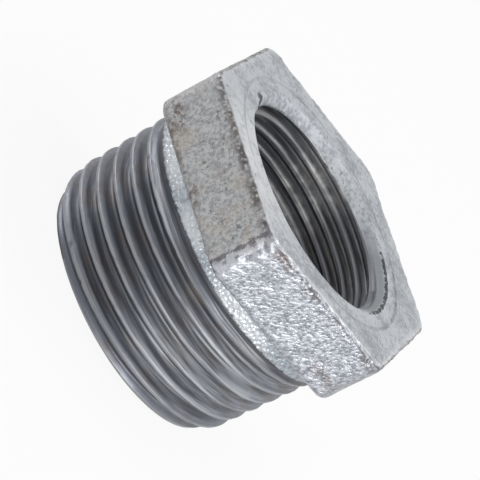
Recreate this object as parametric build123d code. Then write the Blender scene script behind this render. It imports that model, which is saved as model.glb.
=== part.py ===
from build123d import *
import math
import os

# Hexagon reducing bush: R 1 taper thread outside, Rp 3/4 parallel thread inside.
# One malleable-iron casting, galvanised and then threaded.
#
# Frame: Z is the axis of both threads. Z = 0 is the spigot's end face, which enters the
# fitting that the bush reduces, and the hexagon with the tapped mouth is on top. Two
# corners of the hexagon lie on the X axis, and two of its flats face +Y and -Y.

INCH = 25.4

# Hexagon collar
HEX_ACROSS_FLATS = 36.2
HEX_THICKNESS = 7.8
HEX_CORNER_RADIUS = 2.4
HEX_EDGE_CHAMFER = 0.5
OVERALL_LENGTH = 25.0

# 55 degree pipe thread form, cut off flat at crest and root
FLANK_ANGLE = 27.5
DEPTH_PER_PITCH = 0.640327
FLAT_PER_PITCH = 1 / 6
GROOVE_OVERTRAVEL = 0.35

# Spigot with the R 1 taper thread
MALE_PITCH = INCH / 11
MALE_GAUGE_RADIUS = 33.249 / 2
MALE_GAUGE_HEIGHT = 10.4
TAPER = 1 / 32
SPIGOT_END_RADIUS = 15.3
SPIGOT_CHAMFER_LENGTH = 2.3
MALE_GROOVE_HEIGHT_AT_X = 0.416
MALE_FULL_THREAD_TO = 12.2
MALE_RUNOUT_ANGLE = 30.0
NECK_RADIUS = 17.1
NECK_FROM = 15.6
NECK_RAMP_LENGTH = 1.2

# Bore with the Rp 3/4 parallel thread
FEMALE_MINOR_RADIUS = 24.117 / 2
MOUTH_CHAMFER = 1.16
BORE_END_CHAMFER = 0.6

MALE_DEPTH = DEPTH_PER_PITCH * MALE_PITCH
HEX_BACK = OVERALL_LENGTH - HEX_THICKNESS


def crest_radius(height):
    """Radius of the taper thread's crests at a height above the spigot's end."""
    return MALE_GAUGE_RADIUS + (height - MALE_GAUGE_HEIGHT) * TAPER


def revolved(outline):
    """A solid of revolution about Z from a closed outline of (radius, height) points."""
    with BuildPart() as turned:
        with BuildSketch(Plane.XZ):
            with BuildLine():
                Polyline(*outline, close=True)
            make_face()
        revolve(axis=Axis.Z)
    return turned.part


def cone_helix(pitch, height, rise, radius, slope):
    """A right-hand helix up a cone whose radius grows by slope for each unit of height.

    Helix takes its pitch along the cone's side, so the axial pitch is lengthened to suit.
    """
    angle = math.atan(slope)
    side_pitch = pitch / math.cos(angle)
    return Helix(side_pitch, rise, radius, center=(0, 0, height), cone_angle=math.degrees(angle))


def groove_turn(pitch, height, rise, root_radius, slope, depth):
    """Up to one turn of a thread groove, as a solid whose section is the thread form.

    root_radius is the groove's radius where the turn starts, above +X. The section
    opens away from the axis, and passes the crests by the groove's overtravel.
    """
    reach = depth + GROOVE_OVERTRAVEL
    half_root = FLAT_PER_PITCH * pitch / 2
    half_mouth = half_root + reach * math.tan(math.radians(FLANK_ANGLE))
    mouth_radius = root_radius + reach
    corners = [
        (root_radius, -half_root),
        (mouth_radius, -half_mouth),
        (mouth_radius, half_mouth),
        (root_radius, half_root),
    ]
    rails = [cone_helix(pitch, height + along, rise, radius, slope) for radius, along in corners]
    next_rails = rails[1:] + rails[:1]
    sides = [Face.make_surface_from_curves(a.edge(), b.edge()) for a, b in zip(rails, next_rails)]
    ends = [Face(Wire.make_polygon([rail @ end for rail in rails], close=True)) for end in (0, 1)]
    return Solid(Shell(sides + ends))


def groove(pitch, height_at_x, height_from, height_to, root_radius, slope, depth):
    """A whole thread groove, as a list of its turns from height_from up to height_to.

    root_radius is the groove's radius at height_from, and height_at_x is any height at
    which the groove crosses the side above +X: it sets where the thread starts.
    """
    turns = math.ceil((height_to - height_from) / pitch)
    cutters = []
    for index in range(turns):
        height = height_from + index * pitch
        rise = min(pitch, height_to - height)
        radius = root_radius + index * pitch * slope
        start_angle = 360 * (height - height_at_x) / pitch
        turn = groove_turn(pitch, height, rise, radius, slope, depth)
        cutters.append(Rot(0, 0, start_angle) * turn)
    return cutters


def hexagon_collar():
    """The collar that a wrench holds, with rounded corners and its edges broken."""
    with BuildPart() as collar:
        with BuildSketch(Plane.XY.offset(HEX_BACK)):
            RegularPolygon(HEX_ACROSS_FLATS / 2, 6, major_radius=False)
        extrude(amount=HEX_THICKNESS)
        fillet(collar.edges().filter_by(Axis.Z), HEX_CORNER_RADIUS)
        chamfer(collar.edges().group_by(Axis.Z)[0], HEX_EDGE_CHAMFER)
        chamfer(collar.edges().group_by(Axis.Z)[-1], HEX_EDGE_CHAMFER)
    return collar.part


def spigot_blank():
    """The spigot before threading: end chamfer, taper, then the wider neck as cast."""
    ramp_from = NECK_FROM - NECK_RAMP_LENGTH
    inside_collar = HEX_BACK + HEX_THICKNESS / 2
    outline = [
        (0, 0),
        (SPIGOT_END_RADIUS, 0),
        (crest_radius(SPIGOT_CHAMFER_LENGTH), SPIGOT_CHAMFER_LENGTH),
        (crest_radius(ramp_from), ramp_from),
        (NECK_RADIUS, NECK_FROM),
        (NECK_RADIUS, inside_collar),
        (0, inside_collar),
    ]
    return revolved(outline)


def male_thread():
    """The taper thread's groove at full depth, then its run-out up to the neck.

    The groove starts a pitch below the end face's first turn, so that it runs in from
    clear of the spigot.
    """
    below_end = MALE_GROOVE_HEIGHT_AT_X - MALE_PITCH
    root_below_end = crest_radius(below_end) - MALE_DEPTH
    root_at_runout = crest_radius(MALE_FULL_THREAD_TO) - MALE_DEPTH
    runout_slope = math.tan(math.radians(MALE_RUNOUT_ANGLE))
    runout_to = MALE_FULL_THREAD_TO + (NECK_RADIUS - root_at_runout) / runout_slope
    place = (MALE_PITCH, MALE_GROOVE_HEIGHT_AT_X)
    full = groove(*place, below_end, MALE_FULL_THREAD_TO, root_below_end, TAPER, MALE_DEPTH)
    runout = groove(
        *place, MALE_FULL_THREAD_TO, runout_to, root_at_runout, runout_slope, MALE_DEPTH
    )
    return full + runout


def bore():
    """The way through: mouth chamfer, bore at the thread's minor radius, end chamfer."""
    outline = [
        (0, 0),
        (FEMALE_MINOR_RADIUS + BORE_END_CHAMFER, 0),
        (FEMALE_MINOR_RADIUS, BORE_END_CHAMFER),
        (FEMALE_MINOR_RADIUS, OVERALL_LENGTH - MOUTH_CHAMFER),
        (FEMALE_MINOR_RADIUS + MOUTH_CHAMFER, OVERALL_LENGTH),
        (0, OVERALL_LENGTH),
    ]
    return revolved(outline)


bushing = spigot_blank() + hexagon_collar()
for cutter in male_thread():
    bushing -= cutter
bushing -= bore()

os.makedirs("parts", exist_ok=True)
export_step(bushing, "parts/bushing.step")
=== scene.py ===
"""The visual model of a galvanised hexagon reducing bush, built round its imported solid.

The solid carries the sizes and the plain bore. This script replaces it with one closed
mesh that has the worn taper thread, the tapped bore's turns, the neck that the die left
uncut and the rough zinc skin of the collar. Lengths are in millimetres until the mesh
becomes an object, which is in metres. Angles are in degrees unless a line says otherwise.
"""
import logging
import math
from collections.abc import Callable
from dataclasses import dataclass, field
from enum import Enum

import bmesh
import bpy
from bmesh.types import BMEdge, BMesh, BMVert
from bpy.types import Material, Mesh, Node, NodeSocket, NodeTree, Object
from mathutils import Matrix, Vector, noise

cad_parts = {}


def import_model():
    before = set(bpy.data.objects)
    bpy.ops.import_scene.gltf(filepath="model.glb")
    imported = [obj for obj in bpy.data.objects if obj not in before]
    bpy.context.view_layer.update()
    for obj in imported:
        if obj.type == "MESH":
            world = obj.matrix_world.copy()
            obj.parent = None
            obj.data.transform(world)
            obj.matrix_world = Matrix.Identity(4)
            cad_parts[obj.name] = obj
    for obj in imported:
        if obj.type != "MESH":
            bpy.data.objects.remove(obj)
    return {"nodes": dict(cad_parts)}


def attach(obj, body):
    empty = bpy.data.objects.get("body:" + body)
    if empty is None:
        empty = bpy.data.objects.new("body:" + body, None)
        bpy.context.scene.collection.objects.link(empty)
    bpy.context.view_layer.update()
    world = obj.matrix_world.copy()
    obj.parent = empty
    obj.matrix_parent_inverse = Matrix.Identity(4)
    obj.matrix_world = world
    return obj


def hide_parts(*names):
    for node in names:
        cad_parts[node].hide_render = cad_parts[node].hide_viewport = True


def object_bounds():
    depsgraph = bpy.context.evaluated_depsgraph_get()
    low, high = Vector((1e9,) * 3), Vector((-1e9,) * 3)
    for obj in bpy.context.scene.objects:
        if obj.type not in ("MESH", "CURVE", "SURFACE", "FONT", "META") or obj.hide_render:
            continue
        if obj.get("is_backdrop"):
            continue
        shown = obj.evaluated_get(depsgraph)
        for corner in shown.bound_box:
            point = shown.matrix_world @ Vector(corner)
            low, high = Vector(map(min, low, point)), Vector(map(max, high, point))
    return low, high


LOG = logging.getLogger("hex_bushing")
MM = 0.001
INCH = 25.4
NODE = "bushing"
BODY = "root"
COLUMNS = 384  # steps in every full turn, so that the walls' rims match
WELD = 0.004  # vertices nearer than this are one
BORE_LIMIT = 14.0  # below the collar, whatever is nearer to the axis is bore
MOUTH_CENTRE = (0.75, 0.55)  # the mouth is tapped a little off the hexagon's centre
MOUTH_RADIUS = 13.22
SPOT_FACE_RADIUS = 15.2
TORN_SPOT = (12.6, -5.0)  # where the tap tore the mouth's rim

Outline = list[tuple[float, float]]
Range = tuple[float, float]
Triple = tuple[float, float, float]
Ramp = tuple[float, float, float, float]  # from, to, and the result at each of them


class Zone(Enum):
    """The three finishes of the bush, as the index of each one's material slot."""

    SKIN = 0
    CUT_THREAD = 1
    TAPPED_BORE = 2


def smoothstep(low: float, high: float, value: float) -> float:
    """A smooth ramp from 0 at low to 1 at high.

    Args:
        low: where the ramp starts.
        high: where the ramp ends. It may be below low, for a falling ramp.
        value: the place on the ramp.

    Returns:
        The ramp's height, from 0 to 1.
    """
    part = min(1.0, max(0.0, (value - low) / (high - low)))
    return part * part * (3 - 2 * part)


def polar(point: Vector) -> tuple[float, float, float]:
    """A point as its radius, its angle about Z in radians and its height."""
    return math.hypot(point.x, point.y), math.atan2(point.y, point.x), point.z


def angle_between(first: float, second: float) -> float:
    """The size of the turn from one angle to another."""
    return abs((first - second + 180) % 360 - 180)


def set_radius(vert: BMVert, radius: float) -> None:
    """Moves a vertex straight out or in.

    Args:
        vert: the vertex.
        radius: where it goes to, from the axis.
    """
    share = radius / math.hypot(vert.co.x, vert.co.y)
    vert.co.x *= share
    vert.co.y *= share


def lathe(bm: BMesh, outline: Outline, rise: float = 0.0) -> None:
    """Spins an open outline once about Z into a wall.

    Args:
        bm: the mesh that the wall is added to.
        outline: (radius, height) points, in order along the wall.
        rise: the height gained in the turn, or 0 for a wall that closes on itself.
    """
    points = [bm.verts.new((radius, 0, height)) for radius, height in outline]
    links = [bm.edges.new(pair) for pair in zip(points, points[1:])]
    bmesh.ops.spin(
        bm,
        geom=points + links,
        cent=(0, 0, 0),
        axis=(0, 0, 1),
        dvec=(0, 0, rise / COLUMNS),
        angle=math.tau,
        steps=COLUMNS,
        use_merge=rise == 0,
        use_duplicate=False,
    )


def screw(bm: BMesh, outline: Outline, turns: int, ends: Range) -> None:
    """Makes a screw's wall from one pitch of its outline, cut off square at two heights.

    Args:
        bm: the mesh that the wall is added to, which holds nothing else yet.
        outline: (radius, height) points of one pitch, from root to root.
        turns: how many turns to make before the ends are cut.
        ends: the heights of the lower and the upper cut.
    """
    pitch = outline[-1][1] - outline[0][1]
    lathe(bm, outline, pitch)
    first_turn = bm.verts[:] + bm.edges[:] + bm.faces[:]
    for turn in range(1, turns):
        copy = bmesh.ops.duplicate(bm, geom=first_turn)["geom"]
        moved = [item for item in copy if isinstance(item, BMVert)]
        bmesh.ops.translate(bm, verts=moved, vec=(0, 0, turn * pitch))
    bmesh.ops.remove_doubles(bm, verts=bm.verts, dist=WELD)
    for height, side in zip(ends, (-1, 1)):
        plane = {"plane_co": (0, 0, height), "plane_no": (0, 0, side)}
        everything = bm.verts[:] + bm.edges[:] + bm.faces[:]
        bmesh.ops.bisect_plane(bm, geom=everything, dist=WELD, clear_outer=True, **plane)
    for vert in bm.verts:
        for height in ends:
            if abs(vert.co.z - height) < 2 * WELD:
                vert.co.z = height
    bmesh.ops.remove_doubles(bm, verts=bm.verts, dist=WELD)


def rim_at(bm: BMesh, height: float, radii: Range) -> list[BMEdge]:
    """Finds the open edges of a mesh that lie at one height and between two radii.

    Args:
        bm: the mesh.
        height: the rim's height.
        radii: the least and the greatest radius that the rim may have.

    Returns:
        The rim's edges.
    """
    rim = []
    for edge in bm.edges:
        if not edge.is_boundary:
            continue
        middle = (edge.verts[0].co + edge.verts[1].co) / 2
        level = max(abs(vert.co.z - height) for vert in edge.verts) < WELD
        if level and radii[0] < math.hypot(middle.x, middle.y) < radii[1]:
            rim.append(edge)
    return rim


def absorb(target: BMesh, source: BMesh) -> None:
    """Adds a mesh to another one and frees it.

    Args:
        target: the mesh that grows.
        source: the mesh that is added.
    """
    carrier = bpy.data.meshes.new("carrier")
    source.to_mesh(carrier)
    target.from_mesh(carrier)
    source.free()
    bpy.data.meshes.remove(carrier)


@dataclass(frozen=True)
class ThreadForm:
    """One pitch of a worn 55 degree pipe thread, from root centre to root centre.

    The stations are shares of the pitch along the thread and of the depth into it.
    """

    pitch: float
    depth: float
    stations: tuple[tuple[float, float], ...] = (
        (0.0, 1.0),
        (0.09, 0.985),
        (0.25, 0.5),
        (0.40, 0.04),
        (0.46, 0.0),
        (0.54, 0.0),
        (0.60, 0.04),
        (0.75, 0.5),
        (0.91, 0.985),
        (1.0, 1.0),
    )

    def outline(self, crest: float, start: float, outwards: int) -> Outline:
        """The form's (radius, height) points.

        Args:
            crest: the radius of the crests.
            start: the height of the first root's centre.
            outwards: 1 for a male thread, -1 for a tapped one.

        Returns:
            The points from one root's centre up to the next.
        """
        points = []
        for along, deep in self.stations:
            points.append((crest - outwards * self.depth * deep, start + self.pitch * along))
        return points


@dataclass(frozen=True)
class TaperThread:
    """The R 1 thread on the spigot, with its end chamfer and its run-out into the neck."""

    form: ThreadForm = ThreadForm(pitch=INCH / 11, depth=1.479)
    gauge_radius: float = 33.249 / 2
    gauge_height: float = 10.4
    taper: float = 1 / 32
    root_height_at_x: float = 0.416
    end_radius: float = 15.3
    chamfer_length: float = 2.3
    full_to: float = 12.2
    runout_slope: float = math.tan(math.radians(30))
    last_height: float = 15.0
    turns_below: int = 2

    def crest_at(self, height: float) -> float:
        """The radius of the crests at a height."""
        return self.gauge_radius + (height - self.gauge_height) * self.taper

    def root_at(self, height: float) -> float:
        """The radius of the groove's floor, which rises to the surface at the run-out.

        Args:
            height: the height to measure at.

        Returns:
            The distance from the axis.
        """
        floor = self.crest_at(height) - self.form.depth
        runout = self.crest_at(self.full_to) - self.form.depth + (height - self.full_to) * self.runout_slope
        return min(self.crest_at(height), max(floor, runout))

    def chamfer_at(self, height: float) -> float:
        """The radius of the end chamfer's cone, carried on upwards, at a height."""
        widening = (self.crest_at(self.chamfer_length) - self.end_radius) / self.chamfer_length
        return self.end_radius + widening * height

    def build(self, bm: BMesh) -> None:
        """Adds the thread's wall, cut off square at both ends, to a mesh.

        Args:
            bm: the mesh, which holds nothing else yet.
        """
        start = self.root_height_at_x - self.turns_below * self.form.pitch
        turns = math.ceil((self.last_height - start) / self.form.pitch) + 1
        screw(bm, self.form.outline(self.gauge_radius, start, 1), turns, (0.0, self.last_height))
        for vert in bm.verts:
            radius, _, height = polar(vert.co)
            straight = self.crest_at(height) - (self.gauge_radius - radius)
            set_radius(vert, min(self.chamfer_at(height), max(self.root_at(height), straight)))


@dataclass(frozen=True)
class TappedThread:
    """The Rp 3/4 thread in the bore, parallel, from the mouth's chamfer inwards."""

    form: ThreadForm = ThreadForm(pitch=INCH / 14, depth=1.162)
    minor_radius: float = 24.117 / 2
    length: float = 12.4
    fade: float = 1.8
    phase: float = 0.72
    spare_turns: int = 3

    def build(self, bm: BMesh, top: float) -> None:
        """Adds the thread's wall, cut off square at both ends, to a mesh.

        Args:
            bm: the mesh, which holds nothing else yet.
            top: the height at which the thread meets the mouth's chamfer.
        """
        bottom = top - self.length
        turns = math.ceil(self.length / self.form.pitch) + self.spare_turns
        outline = self.form.outline(self.minor_radius, bottom - self.form.pitch - self.phase, -1)
        screw(bm, outline, turns, (bottom, top))
        for vert in bm.verts:
            radius, _, height = polar(vert.co)
            deep = (radius - self.minor_radius) * smoothstep(bottom, bottom + self.fade, height)
            set_radius(vert, self.minor_radius + deep)


@dataclass(frozen=True)
class Collar:
    """The hexagon that a wrench holds, from the neck round to the mouth's chamfer."""

    across_flats: float
    top: float
    thickness: float = 7.8
    corner_radius: float = 2.4
    least_corner: float = 0.3
    edge_radius: float = 0.75
    neck_radius: float = 17.1
    neck_fillet: float = 0.25
    fillet_bulge: float = 0.3
    mouth_radius: float = MOUTH_RADIUS
    mouth_chamfer: float = 1.16
    face_rows: int = 13
    side_rows: int = 25
    edge_rows: int = 5
    back_rows: int = 4
    neck_rows: int = 8
    chamfer_rows: int = 4
    cone_radius: float = 10.0

    def hexagon_at(self, angle: float, inset: float) -> float:
        """The radius of the rounded hexagon's outline in one direction.

        Args:
            angle: the direction, in radians from +X, where one corner is.
            inset: how far inside the full outline to measure.

        Returns:
            The distance from the axis.
        """
        apothem = self.across_flats / 2 - inset
        corner_radius = max(self.corner_radius - inset, self.least_corner)
        half = math.pi / 6
        off_corner = abs((angle + half) % (2 * half) - half)
        centre = (apothem - corner_radius) / math.cos(half)
        arc_end = math.atan2(corner_radius * math.sin(half), centre + corner_radius * math.cos(half))
        if off_corner < arc_end:
            across = centre * math.sin(off_corner)
            return centre * math.cos(off_corner) + math.sqrt(corner_radius**2 - across**2)
        return apothem / math.cos(half - off_corner)

    def stations(self, neck_from: float) -> list[tuple[float, float, float, float]]:
        """The collar's wall as rows, from the neck's lower end round to the bore.

        Args:
            neck_from: the height at which the wall starts.

        Returns:
            A row for each ring of the wall: its height, the radius of its round part, its
            inset from the hexagon, and how far it is from round (0) to hexagonal (1).
        """
        back = self.top - self.thickness
        edge = self.edge_radius
        fillet = self.neck_fillet
        rows = []
        for index in range(self.neck_rows):
            height = neck_from + (back - fillet - neck_from) * index / (self.neck_rows - 1)
            rows.append((height, self.neck_radius, 0.0, 0.0))
        bulge = self.fillet_bulge * fillet
        rows.append((back - bulge, self.neck_radius + bulge, 0.0, 0.0))
        for index in range(self.back_rows):
            rows.append((back, self.neck_radius + fillet, edge, index / self.back_rows))
        for index in range(self.edge_rows + 1):
            turn = math.pi / 2 * index / self.edge_rows
            rows.append((back + edge * (1 - math.cos(turn)), 0.0, edge * (1 - math.sin(turn)), 1.0))
        side = self.thickness - 2 * edge
        for index in range(1, self.side_rows):
            rows.append((back + edge + side * index / self.side_rows, 0.0, 0.0, 1.0))
        for index in range(self.edge_rows + 1):
            turn = math.pi / 2 * index / self.edge_rows
            rows.append((self.top - edge * (1 - math.sin(turn)), 0.0, edge * (1 - math.cos(turn)), 1.0))
        for index in range(1, self.face_rows + 1):
            rows.append((self.top, self.mouth_radius, edge, 1 - index / self.face_rows))
        for index in range(1, self.chamfer_rows):
            drop = self.mouth_chamfer * index / self.chamfer_rows
            rows.append((self.top - drop, self.mouth_radius - drop, 0.0, 0.0))
        return rows

    def build(self, bm: BMesh, neck_from: float) -> None:
        """Adds the collar's wall to a mesh.

        The rows are first spun as a cone, in which a vertex's height is its row's number.
        Each vertex then moves to its row's real height and radius.

        Args:
            bm: the mesh.
            neck_from: the height at which the wall starts.
        """
        rows = self.stations(neck_from)
        lathe(bm, [(self.cone_radius + index, float(index)) for index in range(len(rows))])
        for vert in bm.verts:
            _, angle, index = polar(vert.co)
            height, radius, inset, share = rows[round(index)]
            if share > 0:
                radius += share * (self.hexagon_at(angle, inset) - radius)
            vert.co = (radius * math.cos(angle), radius * math.sin(angle), height)


@dataclass(frozen=True)
class PlainBore:
    """The bore below its thread, its end chamfer and the spigot's flat end."""

    radius: float = 24.117 / 2
    chamfer: float = 0.6
    end_radius: float = 14.6
    gap: float = 0.4
    rows: int = 12
    face_rows: int = 4

    def build(self, bm: BMesh, top: float) -> None:
        """Adds the wall to a mesh, from the tapped bore down and out along the end face.

        Args:
            bm: the mesh.
            top: the height at which the tapped bore ends, which is a gap above the wall.
        """
        straight = top - self.gap - self.chamfer
        rows = range(self.rows + 1)
        outline = [(self.radius, self.chamfer + straight * (1 - row / self.rows)) for row in rows]
        outline.append((self.radius + self.chamfer / 2, self.chamfer / 2))
        face_from = self.radius + self.chamfer
        for row in range(self.face_rows + 1):
            outline.append((face_from + (self.end_radius - face_from) * row / self.face_rows, 0.0))
        lathe(bm, outline)


@dataclass(frozen=True)
class Mark:
    """A place on the outside, by its direction and its height."""

    angle: float
    height: float

    def offset(self, place: Vector) -> tuple[float, float]:
        """How far a point is from here, round the bush and up it."""
        radius, angle, height = polar(place)
        return math.radians(angle_between(math.degrees(angle), self.angle)) * radius, height - self.height


@dataclass(frozen=True)
class Dent(Mark):
    """A small dent or chip, with its width and its depth."""

    width: float
    depth: float

    def depth_at(self, place: Vector) -> float:
        """How deep the dent is at a point."""
        return self.depth * smoothstep(self.width, 0.0, math.hypot(*self.offset(place)))


@dataclass(frozen=True)
class Spot(Mark):
    """A soft-edged patch of rust, or of white that is partly bright zinc and partly painted highlight, with
    its half sizes.
    """

    width: float
    tall: float
    strength: float = 1.0
    full_within: float = 0.3

    def cover_at(self, place: Vector) -> float:
        """How strongly the patch covers a point, from 0 to its strength."""
        part = math.hypot(*(gap / half for gap, half in zip(self.offset(place), (self.width, self.tall))))
        return self.strength * smoothstep(1.0, self.full_within, part)


@dataclass(frozen=True)
class Wave:
    """A soft noise on the form, by its height in millimetres and its waves per millimetre.

    The noise runs from -1 to 1. It is lowered by a drop and cut off at a floor.
    """

    height: float
    rate: float
    shift: Triple = (0, 0, 0)
    drop: float = 0.0
    floor: float = -2.0

    def at(self, place: Vector) -> float:
        """The height at a point."""
        wave = noise.noise(place * self.rate + Vector(self.shift)) - self.drop
        return self.height * max(self.floor, wave)


@dataclass(frozen=True)
class Side:
    """A direction that a finish favours, with the turns off it where that ends and is full."""

    angle: float
    none_beyond: float
    full_within: float

    def share_at(self, angle: float) -> float:
        """How far a direction belongs to this side, from 0 to 1."""
        return smoothstep(self.none_beyond, self.full_within, angle_between(angle, self.angle))


@dataclass(frozen=True)
class Relief:
    """How rough each part of the surface is, as heights above or below the clean form."""

    cast_swell: Wave = Wave(0.07, 0.28)
    cast_grain: tuple[Wave, ...] = (Wave(0.045, 1.7), Wave(0.027, 3.1))
    zinc_bead: Wave = Wave(0.16, 1.5, shift=(7, 3, 1), floor=-0.25)
    corner_lump: Wave = Wave(0.34, 0.95, shift=(2, 9, 4), drop=0.05, floor=-0.2)
    crest_wear: tuple[Wave, ...] = (Wave(0.05, 0.9, drop=0.35), Wave(0.02, 2.7))
    bore_wear: Wave = Wave(0.0125, 1.3)
    bore_margin: float = 0.2
    face_wave: Wave = Wave(0.02, 0.5)
    face_depth: float = 0.05
    face_margin: float = 0.9
    spot_face_depth: float = 0.06
    spot_face_step: float = 0.35
    lumpy_corner: float = 60.0
    corner_reach: float = 15.0
    other_corners: float = 0.15
    dents: tuple[Dent, ...] = tuple(
        Dent(*row)
        for row in (
            (24.0, 1.6, 0.5, 0.22), (40.0, 1.3, 0.45, 0.20), (52.0, 8.3, 0.4, 0.15),
            (5.0, 12.9, 0.6, 0.12), (96.0, 3.4, 0.4, 0.14), (77.0, 1.4, 0.4, 0.16),
            (230.0, 6.0, 0.6, 0.25), (300.0, 3.7, 0.5, 0.20),
        )
    )
    pocks: tuple[Dent, ...] = tuple(
        Dent(*row)
        for row in (
            (34.0, 21.3, 0.9, 0.16), (46.0, 19.7, 1.1, 0.18), (30.0, 20.0, 0.8, 0.12),
            (21.0, 22.7, 0.9, 0.12), (41.0, 23.3, 0.8, 0.12), (12.0, 20.8, 0.9, 0.12),
            (72.0, 21.5, 0.9, 0.12), (103.0, 19.4, 1.0, 0.14), (108.0, 20.3, 0.8, 0.14),
            (140.0, 20.2, 1.0, 0.14), (163.0, 22.6, 0.8, 0.12), (200.0, 21.8, 1.1, 0.16),
            (222.0, 19.5, 0.9, 0.12), (262.0, 21.0, 1.0, 0.14), (283.0, 19.2, 0.8, 0.12),
            (325.0, 22.2, 1.0, 0.15), (341.0, 19.8, 0.8, 0.12),
        )
    )

    def lift(self, bush: "BushCasting", place: Vector) -> float:
        """The height to add at a point on the clean form.

        Args:
            bush: the casting that the point is on.
            place: the point, in millimetres.

        Returns:
            The height along the surface's normal, in millimetres.
        """
        radius, angle, height = polar(place)
        below, inside = bush.front_gap(place)
        if height < bush.spigot.last_height and radius > BORE_LIMIT:
            return self.on_thread(bush, place)
        if radius < bush.collar.mouth_radius - self.bore_margin:
            return self.bore_wear.at(place)
        if below < self.face_depth and inside > self.face_margin:
            return self.on_face(place)
        lift = self.cast_swell.at(place) + sum(wave.at(place) for wave in self.cast_grain)
        lift += bush.edge_share(place) * self.zinc_bead.at(place)
        corner = bush.corner_share(place) * self.lumpiness(math.degrees(angle))
        lift += corner * self.corner_lump.at(place)
        return lift - sum(pock.depth_at(place) for pock in self.pocks)

    def lumpiness(self, angle: float) -> float:
        """How much dross clings to the hexagon's corner that is nearest to a direction."""
        return 1.0 if angle_between(angle, self.lumpy_corner) < self.corner_reach else self.other_corners

    def on_face(self, place: Vector) -> float:
        """The height to add on the turned front face: a shallow spot face and soft waves.

        Args:
            place: the point, in millimetres.

        Returns:
            The height, in millimetres.
        """
        off_axis = math.hypot(place.x - MOUTH_CENTRE[0], place.y - MOUTH_CENTRE[1])
        cut = smoothstep(SPOT_FACE_RADIUS, SPOT_FACE_RADIUS - self.spot_face_step, off_axis)
        return self.face_wave.at(place) - self.spot_face_depth * cut

    def on_thread(self, bush: "BushCasting", place: Vector) -> float:
        """The height to add on the male thread: uneven crests and a few dents in them."""
        wear = sum(wave.at(place) for wave in self.crest_wear)
        return bush.crest_share(place) * (wear - sum(dent.depth_at(place) for dent in self.dents))


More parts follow.
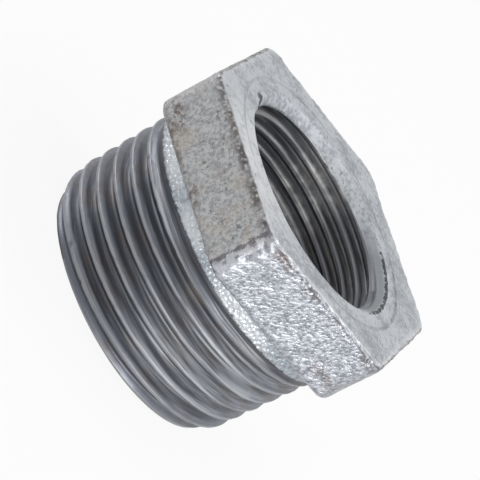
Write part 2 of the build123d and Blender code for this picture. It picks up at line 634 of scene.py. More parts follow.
@dataclass
class BushCasting:
    """The whole bush, as one closed mesh in the CAD model's frame."""

    across_flats: float
    length: float
    bore_offset: tuple[float, float] = MOUTH_CENTRE
    offset_full_to: float = 4.0
    offset_margin: float = 1.0
    neck_gap: float = 0.25
    neck_rims: Range = (16.0, 17.6)
    bore_rims: Range = (11.9, 13.4)
    end_rims: Range = (14.3, 16.0)
    zone_margin: float = 0.1
    neck_heights: Range = (14.0, 14.9)
    neck_crest: float = 0.35
    edge_below: Range = (1.5, 0.2)
    edge_inside: Range = (1.1, 0.1)
    corner_turn: Range = (6.0, 1.0)
    corner_inside: Range = (1.2, 0.2)
    flat_turn: Range = (32.0, 28.0)
    lip_radii: Range = (14.6, 13.9)
    lip_heights: Range = (23.0, 23.6)
    shade_below: Range = (0.0, 0.1)
    flat_tones: tuple[tuple[float, float], ...] = (
        (30.0, 1.0),
        (90.0, 0.0),
        (150.0, 0.5),
        (210.0, 0.8),
        (270.0, 0.3),
        (330.0, 0.7),
    )
    rust_spots: tuple[Spot, ...] = tuple(
        Spot(*row)
        for row in (
            (5.0, 19.0, 3.2, 1.6), (14.0, 17.6, 5.0, 0.7, 0.8), (34.0, 17.9, 2.4, 1.0, 0.9),
            (24.0, 24.6, 7.0, 0.7, 0.6), (44.0, 24.6, 3.0, 0.6, 0.6), (66.0, 24.5, 3.5, 0.9, 0.9),
            (238.0, 24.0, 2.0, 2.0, 0.8), (65.0, 12.7, 2.4, 1.2), (96.0, 14.2, 3.0, 1.2, 0.6),
            (112.0, 19.4, 3.0, 1.2, 0.6), (205.0, 19.5, 5.0, 2.0, 0.7), (318.0, 21.0, 3.0, 2.5, 0.6),
        )
    )
    # White patches, partly bright zinc and partly painted highlights where the neck and the lower turns
    # face the light.
    zinc_white_and_highlight_spots: tuple[Spot, ...] = tuple(
        Spot(*row)
        for row in (
            (76.0, 13.9, 2.6, 1.5), (90.0, 14.6, 7.0, 1.2, 0.7), (94.0, 8.5, 16.0, 9.0, 0.7),
            (26.0, 13.55, 6.0, 0.4, 0.8), (28.0, 25.0, 11.0, 1.2, 0.8), (-22.0, 16.8, 9.0, 1.5, 0.75),
            (12.0, 16.5, 7.0, 1.6, 0.9), (44.0, 16.2, 4.0, 1.4, 0.8), (80.0, 15.9, 7.5, 1.9, 1.0),
            (160.0, 16.2, 14.0, 1.6, 0.6), (270.0, 16.4, 12.0, 1.5, 0.7),
        )
    )
    scraped: Side = Side(166.0, none_beyond=62.0, full_within=22.0)
    seam: Side = Side(57.3, none_beyond=1.9, full_within=0.2)
    # the side of the bore whose crests get a painted highlight
    glint: Side = Side(250.0, none_beyond=28.0, full_within=6.0)
    relief: Relief = field(default_factory=Relief)
    spigot: TaperThread = field(default_factory=TaperThread)
    tapping: TappedThread = field(default_factory=TappedThread)
    rear: PlainBore = field(default_factory=PlainBore)

    def __post_init__(self) -> None:
        """Derives the collar, which takes its two outer sizes from the frame."""
        self.collar = Collar(across_flats=self.across_flats, top=self.length)

    def build_shell(self) -> BMesh:
        """Makes the four walls and joins them rim to rim.

        Returns:
            One closed mesh, in millimetres.
        """
        mouth = self.length - self.collar.mouth_chamfer
        tapped_to = mouth - self.tapping.length
        thread_end = self.spigot.last_height
        shell = bmesh.new()
        self.spigot.build(shell)
        parts = [bmesh.new() for _ in range(3)]
        self.tapping.build(parts[0], mouth)
        self.collar.build(parts[1], thread_end + self.neck_gap)
        self.rear.build(parts[2], tapped_to)
        for part in parts:
            absorb(shell, part)
        chamfer_row = self.collar.mouth_chamfer / self.collar.chamfer_rows
        self.join(shell, (thread_end, thread_end + self.neck_gap), self.neck_rims)
        self.join(shell, (mouth, mouth + chamfer_row), self.bore_rims)
        self.join(shell, (tapped_to, tapped_to - self.rear.gap), self.bore_rims)
        self.join(shell, (0.0, 0.0), self.end_rims)
        bmesh.ops.dissolve_degenerate(shell, dist=WELD, edges=shell.edges)
        bmesh.ops.recalc_face_normals(shell, faces=shell.faces)
        return shell

    def join(self, shell: BMesh, heights: Range, radii: Range) -> None:
        """Bridges two open rims.

        Args:
            shell: the mesh that has them.
            heights: the height of each rim.
            radii: the least and the greatest radius that the rims may have.
        """
        rims = []
        for height in sorted(set(heights)):
            rims += rim_at(shell, height, radii)
        bmesh.ops.bridge_loops(shell, edges=rims)

    def zone_of(self, place: Vector) -> Zone:
        """Picks the finish of a face.

        Args:
            place: the face's middle.

        Returns:
            The finish.
        """
        radius, _, height = polar(place)
        chamfer_from = self.length - self.collar.mouth_chamfer
        if radius < self.collar.mouth_radius and self.zone_margin < height < chamfer_from:
            return Zone.TAPPED_BORE
        if height < self.length - self.collar.thickness - self.zone_margin:
            return Zone.CUT_THREAD
        return Zone.SKIN

    def offset_bore(self, shell: BMesh) -> None:
        """Moves the mouth and its thread a little off the hexagon's centre, as tapped.

        Args:
            shell: the closed mesh.
        """
        depths = (self.length - self.tapping.length, self.length - self.offset_full_to)
        radii = (self.collar.across_flats / 2 - self.offset_margin, self.collar.mouth_radius)
        for vert in shell.verts:
            radius, _, height = polar(vert.co)
            share = smoothstep(*depths, height) * smoothstep(*radii, radius)
            vert.co.x += self.bore_offset[0] * share
            vert.co.y += self.bore_offset[1] * share

    def add_relief(self, shell: BMesh) -> None:
        """Gives the clean form its surface: zinc lumps, cast unevenness, worn crests and nicks.

        Args:
            shell: the closed mesh.
        """
        shell.normal_update()
        moves = [(vert, vert.normal * self.relief.lift(self, vert.co)) for vert in shell.verts]
        for vert, move in moves:
            flat_end = vert.co.z < WELD
            vert.co += move
            if flat_end:
                vert.co.z = 0.0

    def shares_at(self, place: Vector) -> dict[str, float]:
        """Works out what the finishes read at one point of the surface.

        Args:
            place: the point, in millimetres.

        Returns:
            A share from 0 to 1 for each name that a finish asks for.
        """
        radius, angle, height = polar(place)
        degrees = math.degrees(angle)
        scraped = self.scraped.share_at(degrees)
        return {
            "crest": self.crest_share(place),
            "edge": self.edge_share(place),
            "corner": self.corner_share(place) * self.relief.lumpiness(degrees),
            "seam": self.seam.share_at(degrees),
            "dull": self.dullness(degrees),
            "rust": max(spot.cover_at(place) for spot in self.rust_spots),
            "white": max(spot.cover_at(place) for spot in self.zinc_white_and_highlight_spots),
            "lip": smoothstep(*self.lip_radii, radius) * smoothstep(*self.lip_heights, height),
            "rim": scraped,
            "shade": smoothstep(*self.shade_below, self.length - height) * scraped,
            # painted highlight: the side of the bore that gets the painted glint
            "glint": self.glint.share_at(degrees),
        }

    def paint(self, mesh: Mesh) -> None:
        """Stores the shares of every point in the mesh, where the finishes read them.

        Args:
            mesh: the finished mesh, in metres.
        """
        shares = [self.shares_at(vert.co / MM) for vert in mesh.vertices]
        for name in shares[0]:
            values = [share[name] for share in shares]
            mesh.attributes.new(name, "FLOAT", "POINT").data.foreach_set("value", values)

    def crest_share(self, place: Vector) -> float:
        """Works out how near a point on either thread is to the crests.

        Args:
            place: the point, in millimetres.

        Returns:
            A share from 0 in the root to 1 on the crest, and one middle tone on the neck.
        """
        radius, _, height = polar(place)
        if radius <= BORE_LIMIT:
            into = (radius - self.tapping.minor_radius) / self.tapping.form.depth
            return 1 - min(1.0, max(0.0, into))
        surface = min(self.spigot.crest_at(height), self.spigot.chamfer_at(height))
        share = 1 - min(1.0, max(0.0, (surface - radius) / self.spigot.form.depth))
        return share + (self.neck_crest - share) * smoothstep(*self.neck_heights, height)

    def front_gap(self, place: Vector) -> tuple[float, float]:
        """How far a point is below the front face, and how far inside the hexagon's outline."""
        radius, angle, height = polar(place)
        return self.length - height, self.collar.hexagon_at(angle, 0.0) - radius

    def edge_share(self, place: Vector) -> float:
        """How near a point is to the hexagon's front edge, from 0 to 1."""
        below, inside = self.front_gap(place)
        return smoothstep(*self.edge_below, below) * smoothstep(*self.edge_inside, inside)

    def corner_share(self, place: Vector) -> float:
        """Works out how near a point on the hexagon's side is to one of its six corners.

        Args:
            place: the point, in millimetres.

        Returns:
            A share from 0 to 1.
        """
        off_corner = abs((math.degrees(polar(place)[1]) + 30) % 60 - 30)
        inside = self.front_gap(place)[1]
        return smoothstep(*self.corner_turn, off_corner) * smoothstep(*self.corner_inside, inside)

    def dullness(self, angle: float) -> float:
        """How oxidised the hexagon's side is in a direction, from 0 to 1: each flat has its own tone."""
        turns = ((angle_between(angle, flat), tone) for flat, tone in self.flat_tones)
        return sum(tone * smoothstep(*self.flat_turn, turn) for turn, tone in turns)

    def make_object(self) -> Object:
        """Builds the mesh in metres, with its zones and its shares.

        Returns:
            The bush, as an object at the origin.
        """
        shell = self.build_shell()
        for face in shell.faces:
            face.smooth = True
            face.material_index = self.zone_of(face.calc_center_median()).value
        self.offset_bore(shell)
        self.add_relief(shell)
        bmesh.ops.scale(shell, verts=shell.verts, vec=(MM, MM, MM))
        mesh = bpy.data.meshes.new("bush_casting")
        shell.to_mesh(mesh)
        shell.free()
        self.paint(mesh)
        casting = bpy.data.objects.new("bush_casting", mesh)
        bpy.context.scene.collection.objects.link(casting)
        return casting


def linear(code: str) -> tuple[float, float, float, float]:
    """An sRGB hex colour as the linear value that a shader socket takes.

    Args:
        code: six hex digits after a hash.

    Returns:
        Linear red, green and blue, and full alpha.
    """
    parts = [int(code[index : index + 2], 16) / 255 for index in (1, 3, 5)]
    shades = [part / 12.92 if part <= 0.04045 else ((part + 0.055) / 1.055) ** 2.4 for part in parts]
    return (*shades, 1.0)


def add(tree: NodeTree, kind: str, inputs: dict | None = None, **settings: object) -> Node:
    """Adds a node with its settings, and sets or links its inputs.

    Args:
        tree: the node tree that takes the node.
        kind: the node's type name.
        inputs: a value, or the socket or field to link from, for each input's name or number.
        settings: the node's own properties.

    Returns:
        The new node.
    """
    node = tree.nodes.new(kind)
    for name, value in settings.items():
        setattr(node, name, value)
    for name, value in (inputs or {}).items():
        if isinstance(value, Field):
            value = value.socket
        if isinstance(value, NodeSocket):
            tree.links.new(value, node.inputs[name])
        else:
            node.inputs[name].default_value = value
    return node


@dataclass(frozen=True)
class Field:
    """A number or a colour that changes over a surface, as one output in a node tree."""

    socket: NodeSocket

    def through(self, kind: str, inputs: dict, output: int = 0, **settings: object) -> "Field":
        """One output, by its number, of a node that is added to this field's tree."""
        return Field(add(self.socket.id_data, kind, inputs, **settings).outputs[output])

    def __add__(self, other: "Field | float") -> "Field":
        """This field with another one, or a number, added to it."""
        return self.through("ShaderNodeMath", {0: self, 1: other}, operation="ADD")

    def __sub__(self, other: "Field | float") -> "Field":
        """This field less another one, or a number."""
        return self.through("ShaderNodeMath", {0: self, 1: other}, operation="SUBTRACT")

    def __mul__(self, other: "Field | float") -> "Field":
        """This field times another one, or a number."""
        return self.through("ShaderNodeMath", {0: self, 1: other}, operation="MULTIPLY")

    def __abs__(self) -> "Field":
        """This field's size, whatever its sign."""
        return self.through("ShaderNodeMath", {0: self}, operation="ABSOLUTE")

    def greater(self, other: "Field") -> "Field":
        """The greater of this field and another one."""
        return self.through("ShaderNodeMath", {0: self, 1: other}, operation="MAXIMUM")

    def ramp(self, low: float, high: float, least: float = 0.0, most: float = 1.0) -> "Field":
        """Goes smoothly from least, where this field is low, to most, where it is high, and stays there."""
        inputs = {"Value": self, "From Min": low, "From Max": high, "To Min": least, "To Max": most}
        return self.through("ShaderNodeMapRange", inputs, interpolation_type="SMOOTHSTEP")

    def between(self, first: "Field | float", second: "Field | float") -> "Field":
        """The first number where this share is 0, the second where it is 1."""
        return self.through("ShaderNodeMix", {0: self, 2: first, 3: second}, data_type="FLOAT")


def coat(under: Field | str, over: Field | str, share: Field) -> Field:
    """Lays one colour over another.

    Args:
        under: the lower colour, as a field or an sRGB hex code.
        over: the upper colour, as a field or an sRGB hex code.
        share: how much of the upper colour covers, from 0 to 1.

    Returns:
        The colour that shows.
    """
    inputs = {0: share}
    for number, colour in ((6, under), (7, over)):
        inputs[number] = linear(colour) if isinstance(colour, str) else colour
    return share.through("ShaderNodeMix", inputs, 2, data_type="RGBA")


@dataclass(frozen=True)
class Layer:
    """What one finish gives the shader: its colour, its roughness and its fine height."""

    colour: Field
    roughness: Field
    height: Field

    def under(self, over: "Layer", share: Field) -> "Layer":
        """Lays another finish over this one.

        Args:
            over: the upper finish.
            share: how much of it covers, from 0 to 1.

        Returns:
            The finish that shows.
        """
        roughness = share.between(self.roughness, over.roughness)
        height = share.between(self.height, over.height)
        return Layer(coat(self.colour, over.colour, share), roughness, height)


class Pattern(Enum):
    """The patterns that the finishes are made of, as the node that draws each one."""

    NOISE = "ShaderNodeTexNoise"
    CELLS = "ShaderNodeTexVoronoi"


@dataclass(frozen=True)
class Grain:
    """A pattern by its real size in millimetres, and how finely it is broken up."""

    size: float
    detail: float = 2.0
    rough: float = 0.55
    pattern: Pattern = Pattern.NOISE


@dataclass(frozen=True)
class Patch(Grain):
    """A grain that is ramped into patches, by the grain's values where they start and are full."""

    low: float = 0.0
    high: float = 1.0
    least: float = 0.0
    most: float = 1.0


@dataclass(frozen=True)
class Painter:
    """A material's surface: where its points are, and the patterns that can be drawn on it."""

    place: Field

    def pattern(self, grain: Grain, place: Field | None = None) -> Field:
        """Draws a pattern.

        Args:
            grain: the pattern.
            place: where the surface's points are taken to be, if not where they are.

        Returns:
            For noise, its value from 0 to 1. For cells, the distance to the nearest middle.
        """
        inputs = {"Vector": place or self.place, "Scale": 1 / (grain.size * MM)}
        inputs |= {"Detail": grain.detail, "Roughness": grain.rough}
        return self.place.through(grain.pattern.value, inputs)

    def patches(self, patch: Patch) -> Field:
        """Draws a pattern and ramps it into soft patches."""
        return self.pattern(patch).ramp(patch.low, patch.high, patch.least, patch.most)

    def ragged(self, share: Field, size: float, reach: float = 2.0, edge: Range = (0.68, 0.86)) -> Field:
        """Breaks a soft share up into a patch with a torn edge, by a grain of one size and its reach."""
        torn = self.pattern(Grain(size, 4.0, 0.75)) - 0.5
        return (share + torn * reach).ramp(*edge)

    def off_axis(self, centre: tuple[float, float]) -> Field:
        """Measures how far the surface is from an upright line.

        Args:
            centre: where the line stands, in millimetres.

        Returns:
            The distance, in millimetres.
        """
        inputs = {0: self.place, 1: (1, 1, 0)}
        flat = self.place.through("ShaderNodeVectorMath", inputs, operation="MULTIPLY")
        inputs = {0: flat, 1: (centre[0] * MM, centre[1] * MM, 0)}
        return flat.through("ShaderNodeVectorMath", inputs, 1, operation="DISTANCE") * (1 / MM)

    def ring(self, distance: Field, radius: float, half: float) -> Field:
        """A soft ring on a distance from an axis, by its radius and half width in millimetres."""
        return abs(distance - radius).ramp(half, 0.2 * half)

    def stretched(self, turn: Triple, stretch: Triple) -> Field:
        """The surface's place for a pattern that is turned, and stretched along its axes."""
        inputs = {"Vector": self.place, "Rotation": [math.radians(part) for part in turn], "Scale": stretch}
        return self.place.through("ShaderNodeMapping", inputs, vector_type="TEXTURE")

    def painted(self, name: str) -> Field:
        """A share that the mesh stores for each of its points."""
        return self.place.through("ShaderNodeAttribute", {}, 2, attribute_name=name)

    def height(self) -> Field:
        """The height above the spigot's end, in millimetres."""
        return self.place.through("ShaderNodeSeparateXYZ", {0: self.place}, 2) * (1 / MM)


@dataclass(frozen=True)
class WeatheredZinc:
    """Hot-dip zinc on a sand-cast side: matt grey oxide with pits, or bright runs of zinc.

    The dip leaves a thin skin that follows the sand's grain. Where it has weathered it is a
    matt grey with beige stains and dark pits, and where it is fresh it is bright, with fine
    ripples from the zinc that ran off. Beads of dross cling along the edges.
    """

    oxide_dark: str = "#909295"
    oxide_light: str = "#B5B6B7"
    stain: str = "#ADA294"
    pit: str = "#4F4A48"
    rust: str = "#5F4E45"
    run_dark: str = "#83868D"
    run_light: str = "#C1C4CA"
    edge_dark: str = "#55504F"
    bead: str = "#D9DBDE"
    valley: str = "#6B6872"
    seam: str = "#5E5A60"
    grain: Grain = Grain(0.42, 3.0, 0.7)
    grain_ramp: Range = (0.36, 0.62)
    stains: Patch = Patch(4.0, 4.0, 0.7, low=0.46, high=0.66, most=0.42)
    pits: Grain = Grain(0.5, 3.0, 0.65)
    pit_clusters: Patch = Patch(2.6, low=0.42, high=0.60, most=0.11)
    pit_ramp: Ramp = (0.33, 0.26, 0.0, 0.5)
    ripples: Grain = Grain(0.30, 2.0, 0.6)
    ripple_turn: Triple = (0, -33, 0)
    ripple_stretch: Triple = (1, 1, 1.5)
    ripple_ramp: Range = (0.32, 0.66)
    rusting: Patch = Patch(0.9, 4.0, 0.75, low=0.40, high=0.58, most=0.85)
    beads: Grain = Grain(0.5, detail=0.0, pattern=Pattern.CELLS)
    edge_patches: Patch = Patch(2.4, 3.0, 0.6, low=0.40, high=0.60, least=0.3)
    crumb_ramp: Ramp = (0.28, 0.52, 0.0, 0.95)
    bead_ramp: Ramp = (0.26, 0.12, 0.0, 0.3)
    lumps: Grain = Grain(0.7, 1.0)
    lump_share: float = 0.5
    valley_ramp: Ramp = (0.50, 0.36, 0.0, 0.65)
    seam_tear: float = 1.1
    seam_share: float = 0.75
    run_roughness: float = 0.36
    oxide_roughness: float = 0.58
    lump_roughness: float = 0.42
    sand: Grain = Grain(0.8, 3.0, 0.6)
    sand_height: float = 1.6
    ripple_height: float = 1.9
    lump_height: float = 2.0

    def oxide(self, paint: Painter, grain: Field) -> Field:
        """Paints the weathered colour: close greys, a beige cast in places, and dark pits.

        Args:
            paint: the surface.
            grain: the skin's fine grain.

        Returns:
            The colour.
        """
        colour = coat(self.oxide_dark, self.oxide_light, grain.ramp(*self.grain_ramp))
        colour = coat(colour, self.stain, paint.patches(self.stains))
        pits = paint.pattern(self.pits) - paint.patches(self.pit_clusters)
        return coat(colour, self.pit, pits.ramp(*self.pit_ramp))

    def layer(self, paint: Painter) -> Layer:
        """Builds the finish.

        Args:
            paint: the surface to build it on.

        Returns:
            Its colour, roughness and height.
        """
        dull = paint.painted("dull")
        edge = paint.painted("edge")
        corner = paint.painted("corner")
        grain = paint.pattern(self.grain)
        ripple = paint.pattern(self.ripples, paint.stretched(self.ripple_turn, self.ripple_stretch))
        runs = coat(self.run_dark, self.run_light, ripple.ramp(*self.ripple_ramp))
        side = coat(runs, self.oxide(paint, grain), dull)
        side = coat(side, self.rust, paint.painted("rust") * paint.patches(self.rusting))
        beads = paint.pattern(self.beads)
        patchy = edge * paint.patches(self.edge_patches)
        side = coat(side, self.edge_dark, patchy * beads.ramp(*self.crumb_ramp))
        side = coat(side, self.bead, patchy * beads.ramp(*self.bead_ramp))
        lumps = paint.pattern(self.lumps)
        # The corners' dross lumps: partly their own colour, partly painted highlight on the lumps and
        # painted shade in the valleys between them.
        side = coat(side, self.run_light, corner * self.lump_share)
        side = coat(side, self.valley, corner * lumps.ramp(*self.valley_ramp))
        side = coat(side, self.seam, paint.ragged(paint.painted("seam"), self.seam_tear) * self.seam_share)
        roughness = dull.between(self.run_roughness, self.oxide_roughness)
        sandy = grain + paint.pattern(self.sand) * self.sand_height
        height = dull.between(ripple * self.ripple_height, sandy)
        lumped = corner.greater(edge) * lumps * self.lump_height
        return Layer(side, corner.between(roughness, self.lump_roughness), height + lumped)


@dataclass(frozen=True)
class NeckZinc:
    """Hot-dip zinc on the strip between thread and collar, left as it came from the bath.

    The die stops short of it, so the skin stays whole: rough and white, with small facets
    that catch the light one by one. Its white patches are painted highlights, where the neck
    faces the light.
    """

    grey: str = "#8E9298"
    white: str = "#CACED2"
    facet: str = "#AEB8C0"
    facets: Grain = Grain(0.45, detail=0.0, pattern=Pattern.CELLS)
    grain: Grain = Grain(0.5, 3.0, 0.65)
    facet_ramp: Range = (0.35, 0.65)
    white_ramp: Range = (0.22, 0.42)
    roughness_ramp: Ramp = (0.1, 0.6, 0.22, 0.45)
    facet_height: float = 6.0
    grain_height: float = 4.0

    def layer(self, paint: Painter) -> Layer:
        """Builds the finish.

        Args:
            paint: the surface to build it on.

        Returns:
            Its colour, roughness and height.
        """
        facets = paint.pattern(self.facets)
        grain = paint.pattern(self.grain)
        colour = coat(self.grey, self.facet, grain.ramp(*self.facet_ramp))
        # Painted highlight: the white patches lighten the neck where it faces the light.
        colour = coat(colour, self.white, paint.painted("white") * grain.ramp(*self.white_ramp))
        height = facets * self.facet_height + grain * self.grain_height
        return Layer(colour, facets.ramp(*self.roughness_ramp), height)


@dataclass(frozen=True)
class TurnedFace:
    """Hot-dip zinc on the collar's front, which was faced off in a lathe before the dip.

    The zinc lies smooth and matt on it, in soft clouds with a few dark specks. A shallow
    spot face leaves a faint ring round the mouth, and the tap left a dark burr and a torn
    spot on the mouth's rim.
    """

    dark: str = "#919499"
    light: str = "#B5B8BC"
    bright: str = "#CDCFD1"
    speck: str = "#706E73"
    chamfer: str = "#8E9195"
    burr: str = "#3C3B3D"
    groove: str = "#6C6B6E"
    grain: Grain = Grain(0.5, 3.0, 0.6)
    clouds: Grain = Grain(3.0, 3.0)
    cloud_ramp: Range = (0.38, 0.58)
    lips: Patch = Patch(1.2, 3.0, low=0.35, high=0.5, least=0.4)
    specks: Patch = Patch(0.45, low=0.36, high=0.28, most=0.7)
    rubbing: Patch = Patch(2.0, 3.0, 0.7, low=0.42, high=0.58, least=0.25, most=0.9)
    rubbed_least: float = 0.5
    groove_half: float = 0.34
    chamfer_radii: Range = (13.25, 13.10)
    chamfer_ramp: Ramp = (0.25, 0.45, 0.5, 1.0)
    burr_radius: float = MOUTH_RADIUS + 0.1
    burr_half: float = 0.5
    torn_radii: Range = (1.6, 0.4)
    burr_tear: float = 0.8
    burr_share: float = 0.9
    roughness_ramp: Ramp = (0.3, 0.7, 0.54, 0.44)
    lip_roughness: float = 0.62
    grain_height: float = 0.5

    def layer(self, paint: Painter) -> Layer:
        """Builds the finish.

        Args:
            paint: the surface to build it on.

        Returns:
            Its colour, roughness and height.
        """
        grain = paint.pattern(self.grain)
        cloud = (paint.pattern(self.clouds) + grain) * 0.5
        colour = coat(self.dark, self.light, cloud.ramp(*self.cloud_ramp))
        pale = paint.painted("edge").greater(paint.painted("white"))
        colour = coat(colour, self.bright, pale * paint.patches(self.lips))
        colour = coat(colour, self.speck, paint.patches(self.specks))
        off_axis = paint.off_axis(MOUTH_CENTRE)
        scraped = paint.painted("rim")
        broken_share = paint.patches(self.rubbing) * scraped.between(self.rubbed_least, 1.0)
        groove = paint.ring(off_axis, SPOT_FACE_RADIUS, self.groove_half)
        colour = coat(colour, self.groove, groove * broken_share)
        inside = paint.painted("shade") * off_axis.ramp(*self.chamfer_radii)
        colour = coat(colour, self.chamfer, inside * grain.ramp(*self.chamfer_ramp))
        burr = paint.ring(off_axis, self.burr_radius, self.burr_half) * scraped
        torn = paint.off_axis(TORN_SPOT).ramp(*self.torn_radii)
        burr = paint.ragged(burr.greater(torn), self.burr_tear)
        colour = coat(colour, self.burr, burr * self.burr_share)
        roughness = paint.painted("lip").between(cloud.ramp(*self.roughness_ramp), self.lip_roughness)
        return Layer(colour, roughness, grain * self.grain_height)


@dataclass(frozen=True)
class CutIron:
    """Malleable iron, cut by the die or the tap after dipping and dulled by cutting oil.

    The tool leaves fine lines round the axis. The colour follows the thread's depth: the roots
    are darker, partly from the oil they keep and partly as painted shade, and a thin painted
    highlight runs along the crests, with a painted glint on one side of the bore. The real lines
    are finer than the eye resolves from here, so they are drawn 0.3 mm apart.
    """

    root: str
    flank: str
    crest: str
    stain: str = "#65584F"
    rust: str = "#8A7F73"
    # the white patches' colour on the thread: partly smeared zinc, partly painted highlight
    zinc: str = "#C4C7CC"
    score: str = "#A2A5A9"
    # the colour of the painted glint on the bore's crests
    shine: str = "#D2D2D0"
    # the colour of the darkened band below the neck's zinc line
    neck_band_dark: str = "#33353A"
    lines: Grain = Grain(0.3, 3.0, 0.65)
    line_stretch: Triple = (40, 40, 1)
    uneven: Grain = Grain(1.6, 3.0)
    unevenness: float = 0.24
    flank_ramp: Range = (0.05, 0.95)
    stains: Patch = Patch(3.4, 3.0, low=0.48, high=0.66, most=0.4)
    rust_share: float = 0.7
    crest_unevenness: float = 0.3
    crest_ramp: Range = (0.97, 1.02)
    scored_heights: Ramp = (10.5, 13.0, 0.3, 0.85)
    score_ramp: Range = (0.52, 0.64)
    oily_ramp: Ramp = (0.46, 0.36, 0.0, 0.5)
    neck_band_heights: Range = (13.8, 14.3)
    neck_band_share: float = 0.7
    neck_band_ramp: Range = (0.45, 0.6)
    zinc_smear_and_highlight_ramp: Ramp = (0.42, 0.58, 0.1, 0.75)
    glints: Patch = Patch(1.6, low=0.30, high=0.64, least=0.1, most=0.9)
    glint_ramp: Range = (0.70, 0.97)
    roughness_ramp: Ramp = (0.3, 0.7, 0.34, 0.52)
    zinc_roughness: float = 0.6

    def layer(self, paint: Painter) -> Layer:
        """Builds the finish.

        Args:
            paint: the surface to build it on.

        Returns:
            Its colour, roughness and height.
        """
        crest = paint.painted("crest")
        white = paint.painted("white")
        height = paint.height()
        lines = paint.pattern(self.lines, paint.stretched((0, 0, 0), self.line_stretch))
        uneven = paint.pattern(self.uneven) * self.unevenness
        # Painted shade: the colour darkens from the flanks down into the roots, where less light reaches.
        shade = crest + (uneven - self.unevenness / 2)
        colour = coat(self.root, self.flank, shade.ramp(*self.flank_ramp))
        colour = coat(colour, self.stain, paint.patches(self.stains))
        colour = coat(colour, self.rust, paint.painted("rust") * self.rust_share)
        # Painted highlight over some wear: a thin light line along each crest.
        crest_wear_and_highlight = crest + uneven * self.crest_unevenness
        colour = coat(colour, self.crest, crest_wear_and_highlight.ramp(*self.crest_ramp))
        scored = lines.ramp(*self.score_ramp) * height.ramp(*self.scored_heights)
        colour = coat(colour, self.score, scored)
        colour = coat(colour, self.root, lines.ramp(*self.oily_ramp))
        # Darker towards the neck: the last turns below the zinc line are darkened.
        neck_band_dark = coat(self.neck_band_dark, self.root, lines.ramp(*self.neck_band_ramp))
        colour = coat(colour, neck_band_dark, height.ramp(*self.neck_band_heights, 0.0, self.neck_band_share))
        # White patches on the thread: partly smeared zinc and partly painted highlight on the lower turns.
        colour = coat(colour, self.zinc, white * lines.ramp(*self.zinc_smear_and_highlight_ramp))
        # Painted highlight: the crests on one side of the bore are lightened in broken patches, as a glint.
        broken_share = paint.painted("glint") * paint.patches(self.glints)
        colour = coat(colour, self.shine, broken_share * crest.ramp(*self.glint_ramp))
        roughness = white.between(lines.ramp(*self.roughness_ramp), self.zinc_roughness)
        return Layer(colour, roughness, lines)


@dataclass(frozen=True)
class Finish:
    """A material made of one layer, with the bump's real height in millimetres."""

    name: str
    bump: float
    metallic: float = 0.9

    def make(self, compose: Callable[[Painter], Layer]) -> Material:
        """Makes the material.

        Args:
            compose: gives the layer, from a painter on this material's nodes.

        Returns:
            The material, on Object coordinates.
        """
        material = bpy.data.materials.new(self.name)
        material.use_nodes = True
        tree = material.node_tree
        shader = tree.nodes["Principled BSDF"]
        layer = compose(Painter(Field(add(tree, "ShaderNodeTexCoord").outputs["Object"])))
        inputs = {"Strength": 1.0, "Distance": self.bump * MM, "Height": layer.height}
        bump = add(tree, "ShaderNodeBump", inputs)
        tree.links.new(layer.colour.socket, shader.inputs["Base Color"])
        tree.links.new(layer.roughness.socket, shader.inputs["Roughness"])
        tree.links.new(bump.outputs[0], shader.inputs["Normal"])
        shader.inputs["Metallic"].default_value = self.metallic
        return material


FACE_HEIGHTS = (24.80, 24.97)  # the turned face takes over between these
ZINC_HEIGHTS = (15.75, 15.95)  # the neck's zinc takes over between these, less the line's wander
ZINC_LINE = Grain(0.8, 4.0, 0.75)
ZINC_WANDER = 1.2


def skin_layer(paint: Painter) -> Layer:
    """The collar's finish: weathered zinc on its sides, and the turned face with its mouth."""
    front = paint.height().ramp(*FACE_HEIGHTS).greater(paint.painted("lip"))
    return WeatheredZinc().layer(paint).under(TurnedFace().layer(paint), front)


def spigot_layer(paint: Painter) -> Layer:
    """Makes the spigot's finish: cut iron up to a ragged line on the neck, and zinc above it.

    Args:
        paint: the surface.

    Returns:
        The finish.
    """
    level = paint.height() + paint.pattern(ZINC_LINE) * ZINC_WANDER
    cut = CutIron(root="#53565D", flank="#72757E", crest="#8B8D91")
    return cut.layer(paint).under(NeckZinc().layer(paint), level.ramp(*ZINC_HEIGHTS))


def bore_layer(paint: Painter) -> Layer:
    """The tapped bore's finish: the same cut iron, with painted light on its brighter flanks and no
    darkened band at its end.
    """
    tapped = CutIron(root="#46484D", flank="#96989D", crest="#74757A", score="#8A8C90", neck_band_share=0.0)
    return tapped.layer(paint)


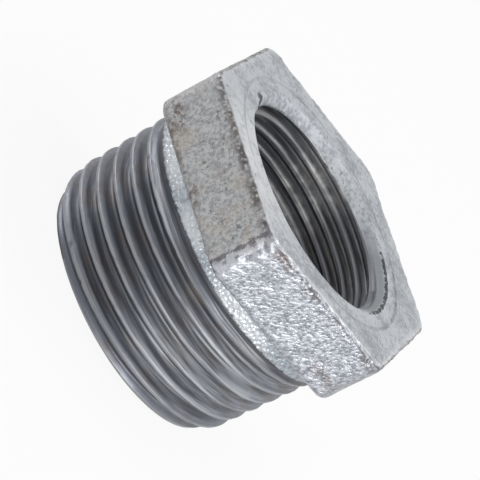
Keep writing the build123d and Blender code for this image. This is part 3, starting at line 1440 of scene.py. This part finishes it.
@dataclass(frozen=True)
class Studio:
    """A plain pale room with soft lamps, and the camera's place."""

    eye: Triple = (177.646, 280.755, 133.189)
    aim_degrees: Triple = (52.418, -56.4685, -179.4936)
    focal_ratio: float = 6.68366
    sensor_width: float = 36.0
    nearest: float = 0.01
    lamp_distance: float = 0.35
    lamps: tuple[tuple[str, Triple, float, float], ...] = (
        ("low_soft", (0.19, -0.64, 0.75), 0.14, 0.55),
        ("upper_left_soft", (-0.25, 0.95, -0.20), 0.20, 0.4),
        ("right_soft", (0.95, 0.08, 0.05), 0.20, 0.35),
    )
    room_light: float = 0.6
    floor_half: float = 0.6
    floor_drop: float = 0.0001
    floor_grey: tuple[float, float, float, float] = (0.8, 0.8, 0.8, 1)
    floor_glow: float = 0.9

    def place_camera(self) -> None:
        """Makes the camera and gives it to the scene."""
        data = bpy.data.cameras.new("camera")
        data.sensor_width = self.sensor_width
        data.lens = self.focal_ratio * self.sensor_width
        data.clip_start = self.nearest
        camera = bpy.data.objects.new("camera", data)
        camera.location = Vector(self.eye) * MM
        camera.rotation_euler = [math.radians(part) for part in self.aim_degrees]
        bpy.context.scene.collection.objects.link(camera)
        bpy.context.scene.camera = camera

    def seen(self, tree: NodeTree) -> Field:
        """Tells the rays that see a surface from those that only light something.

        Args:
            tree: the node tree that asks.

        Returns:
            1 for rays from the camera and for reflections, and 0 for light.
        """
        path = add(tree, "ShaderNodeLightPath").outputs
        seen = Field(path["Is Camera Ray"])
        for kind in ("Is Glossy Ray", "Is Transmission Ray"):
            seen = seen.greater(Field(path[kind]))
        return seen

    def light_room(self) -> None:
        """Sets the world: white where it is seen, and a plain grey level where it lights."""
        world = bpy.data.worlds.new("room")
        bpy.context.scene.world = world
        world.use_nodes = True
        tree = world.node_tree
        tree.nodes.clear()
        strength = self.seen(tree).between(self.room_light, 1.0)
        background = add(tree, "ShaderNodeBackground", {"Color": (1, 1, 1, 1), "Strength": strength})
        add(tree, "ShaderNodeOutputWorld", {"Surface": background.outputs[0]})

    def hang_lamps(self) -> None:
        """Hangs the soft lamps, each placed by how far right, up and towards the eye it is."""
        turn = bpy.context.scene.camera.rotation_euler.to_matrix()
        for name, direction, size, power in self.lamps:
            data = bpy.data.lights.new(name, "AREA")
            data.shape = "DISK"
            data.size = size
            data.energy = power
            lamp = bpy.data.objects.new(name, data)
            away = (turn @ Vector(direction)).normalized()
            lamp.location = away * self.lamp_distance
            lamp.rotation_euler = away.to_track_quat("Z", "Y").to_euler()
            bpy.context.scene.collection.objects.link(lamp)

    def floor_material(self) -> Material:
        """Makes the floor's paint: white to the eye, and matt under the bush's soft shadow.

        Returns:
            The material.
        """
        material = bpy.data.materials.new("pale_floor")
        material.use_nodes = True
        tree = material.node_tree
        tree.nodes.clear()
        matt = add(tree, "ShaderNodeBsdfDiffuse", {"Color": self.floor_grey})
        glow = add(tree, "ShaderNodeEmission", {"Color": (1, 1, 1, 1), "Strength": 1.0})
        share = self.seen(tree) * self.floor_glow
        mixed = add(tree, "ShaderNodeMixShader", {0: share, 1: matt.outputs[0], 2: glow.outputs[0]})
        add(tree, "ShaderNodeOutputMaterial", {"Surface": mixed.outputs[0]})
        return material

    def place_floor(self) -> None:
        """Makes the floor that the bush stands on, a hair below it."""
        floor = bmesh.new()
        bmesh.ops.create_grid(floor, x_segments=1, y_segments=1, size=self.floor_half)
        bmesh.ops.translate(floor, verts=floor.verts, vec=(0, 0, -self.floor_drop))
        mesh = bpy.data.meshes.new("floor")
        floor.to_mesh(mesh)
        floor.free()
        mesh.materials.append(self.floor_material())
        plane = bpy.data.objects.new("floor", mesh)
        bpy.context.scene.collection.objects.link(plane)
        plane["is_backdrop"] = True


def main(frame: dict) -> None:
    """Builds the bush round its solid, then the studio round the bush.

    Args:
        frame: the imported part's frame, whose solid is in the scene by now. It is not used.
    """
    low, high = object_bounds()
    casting = BushCasting(across_flats=(high[1] - low[1]) / MM, length=(high[2] - low[2]) / MM)
    bush = casting.make_object()
    bush.data.materials.append(Finish("galvanised_skin", bump=0.05).make(skin_layer))
    bush.data.materials.append(Finish("die_cut_iron", bump=0.03, metallic=0.7).make(spigot_layer))
    bush.data.materials.append(Finish("tapped_iron", bump=0.02, metallic=0.7).make(bore_layer))
    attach(bush, BODY)
    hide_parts(NODE)
    LOG.info("bush: %d faces", len(bush.data.polygons))
    studio = Studio()
    studio.place_camera()
    studio.hang_lamps()
    studio.light_room()
    studio.place_floor()
    bpy.context.scene.view_settings.view_transform = "Standard"


if __name__ == "__main__":
    logging.basicConfig(level=logging.INFO)
    main(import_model())
